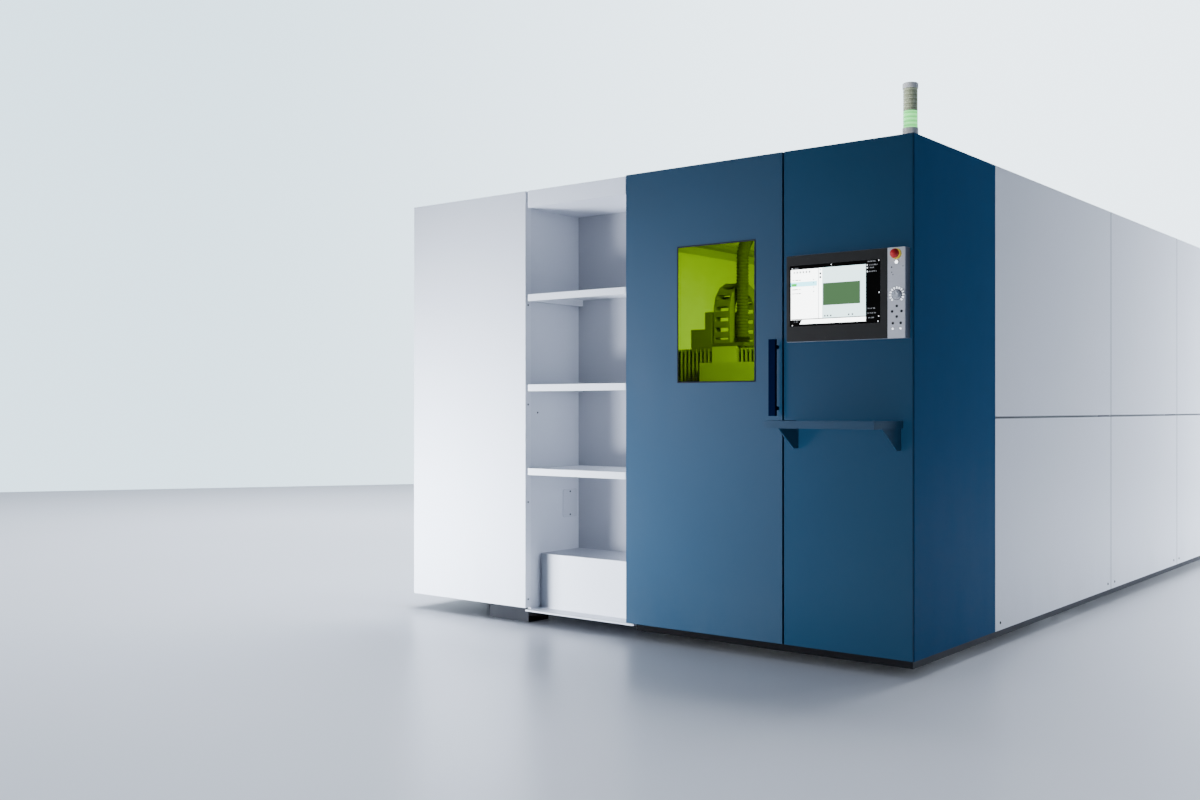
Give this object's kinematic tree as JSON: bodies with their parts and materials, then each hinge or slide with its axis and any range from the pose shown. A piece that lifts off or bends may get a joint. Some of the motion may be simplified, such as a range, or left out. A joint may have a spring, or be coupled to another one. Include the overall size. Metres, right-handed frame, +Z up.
{
  "type": "fiber laser cutting machine",
  "caption": "Enclosed flatbed machine that cuts sheet metal with a fiber laser, with a glazed cabin door, control terminal, tool alcove, gantry and sliding slat pallet.",
  "frame": {"origin": "on the floor, under the middle of the machine's bounding box", "axes": "+X to the right seen from the operator's side, +Y to the rear along the length, +Z up"},
  "size_m": [3.053, 5.868, 2.517],
  "materials": {
    "blue_paint": "satin powder coat",
    "dark_blue_paint": "satin powder coat",
    "white_paint": "satin powder coat",
    "alcove_paint": "satin powder coat",
    "frame_paint": "matt powder coat",
    "bare_steel": "ground",
    "slat_steel": "cut and scorched",
    "liner_paint": "satin powder coat",
    "lamp_cover": "frosted, lit",
    "terminal_case": "satin",
    "bezel_black": "satin",
    "screen_glass": "gloss, lit",
    "silver_plate": "brushed",
    "collar_yellow": "satin",
    "stop_red": "gloss",
    "dial_grey": "brushed",
    "power_ring": "polished",
    "beacon_grey": "matt",
    "beacon_green": "ribbed, lit",
    "window_tint": "tinted",
    "seal_rubber": "matt",
    "gantry_paint": "satin powder coat",
    "bellows_cloth": "coated cloth",
    "chain_plastic": "matt",
    "hose_rubber": "matt",
    "head_metal": "satin"
  },
  "bodies": {
    "machine": {"corner_cover": "blue_paint", "tray": "blue_paint", "tray_brackets": "blue_paint", "right_upper_front_panel": "white_paint", "right_upper_rear_panel": "white_paint", "right_lower_front_panel": "white_paint", "right_lower_middle_panel": "white_paint", "right_lower_rear_panel": "white_paint", "left_side_panels": "white_paint", "rear_wall": "white_paint", "roof": "white_paint", "cabinet_front_panel": "white_paint", "service_cover": "white_paint", "alcove_liner": "alcove_paint", "alcove_header": "alcove_paint", "upper_shelf": "alcove_paint", "middle_shelf": "alcove_paint", "lower_shelf": "alcove_paint", "alcove_step_cover": "alcove_paint", "sill_plate": "alcove_paint", "enclosure_frame": "frame_paint", "door_frame": "frame_paint", "machine_bed": "frame_paint", "levelling_feet": "bare_steel", "gantry_rails": "bare_steel", "hinge_pintles": "bare_steel", "cover_screws": "bare_steel", "chamber_liner": "liner_paint", "chamber_lamps": "lamp_cover", "terminal_housing": "terminal_case", "display_bezel": "bezel_black", "display_screen": "screen_glass", "control_plate": "silver_plate", "stop_collar": "collar_yellow", "beacon_base": "beacon_grey", "beacon_cap": "beacon_grey", "beacon_lens": "beacon_green"},
    "door": {"door_leaf": "blue_paint", "window_pane": "window_tint", "window_seal": "seal_rubber", "door_handle": "dark_blue_paint"},
    "gantry": {"gantry_beam": "gantry_paint", "bellows_left": "bellows_cloth", "bellows_right": "bellows_cloth"},
    "carriage": {"carriage_body": "gantry_paint", "carriage_guard": "gantry_paint", "energy_chain": "chain_plastic", "supply_hose": "hose_rubber"},
    "head": {"cutting_head": "head_metal"},
    "pallet": {"pallet_frame": "frame_paint", "support_slats": "slat_steel"},
    "stop_button": {"stop_button": "stop_red"},
    "override_dial": {"override_dial": "dial_grey"},
    "power_button": {"power_button": "power_ring"},
    "jog_up_key": {"jog_up_key": "silver_plate"},
    "jog_left_key": {"jog_left_key": "silver_plate"},
    "jog_right_key": {"jog_right_key": "silver_plate"},
    "jog_down_key": {"jog_down_key": "silver_plate"},
    "stop_feed_key": {"stop_feed_key": "silver_plate"},
    "start_feed_key": {"start_feed_key": "silver_plate"}
  },
  "joints": [
    {"name": "cabin_door", "type": "hinge", "parent": "machine", "child": "door", "pos_m": [0.0325, -2.651, 1.18], "axis": [0, 0, -1], "range_deg": [0, 105]},
    {"name": "gantry_slide", "type": "slide", "parent": "machine", "child": "gantry", "axis": [0, 1, 0], "range_m": [0, 3]},
    {"name": "carriage_slide", "type": "slide", "parent": "gantry", "child": "carriage", "axis": [1, 0, 0], "range_m": [-0.58, 0.93], "deforming": ["bellows_left", "bellows_right"]},
    {"name": "head_slide", "type": "slide", "parent": "carriage", "child": "head", "axis": [0, 0, -1], "range_m": [0, 0.115]},
    {"name": "pallet_slide", "type": "slide", "parent": "machine", "child": "pallet", "axis": [0, 1, 0], "range_m": [0, 3.1]},
    {"name": "stop_press", "type": "slide", "parent": "machine", "child": "stop_button", "axis": [0, 1, 0], "range_m": [0, 0.004]},
    {"name": "dial_turn", "type": "hinge", "parent": "machine", "child": "override_dial", "pos_m": [1.473, -2.71, 1.606], "axis": [0, 1, 0], "range_deg": [-140, 140]},
    {"name": "power_press", "type": "slide", "parent": "machine", "child": "power_button", "axis": [0, 1, 0], "range_m": [0, 0.0015], "stiffness_N_per_m": 400},
    {"name": "jog_up_press", "type": "slide", "parent": "machine", "child": "jog_up_key", "axis": [0, 1, 0], "range_m": [0, 0.001], "stiffness_N_per_m": 400},
    {"name": "jog_left_press", "type": "slide", "parent": "machine", "child": "jog_left_key", "axis": [0, 1, 0], "range_m": [0, 0.001], "stiffness_N_per_m": 400},
    {"name": "jog_right_press", "type": "slide", "parent": "machine", "child": "jog_right_key", "axis": [0, 1, 0], "range_m": [0, 0.001], "stiffness_N_per_m": 400},
    {"name": "jog_down_press", "type": "slide", "parent": "machine", "child": "jog_down_key", "axis": [0, 1, 0], "range_m": [0, 0.001], "stiffness_N_per_m": 400},
    {"name": "stop_feed_press", "type": "slide", "parent": "machine", "child": "stop_feed_key", "axis": [0, 1, 0], "range_m": [0, 0.001], "stiffness_N_per_m": 400},
    {"name": "start_feed_press", "type": "slide", "parent": "machine", "child": "start_feed_key", "axis": [0, 1, 0], "range_m": [0, 0.001], "stiffness_N_per_m": 400}
  ]
}
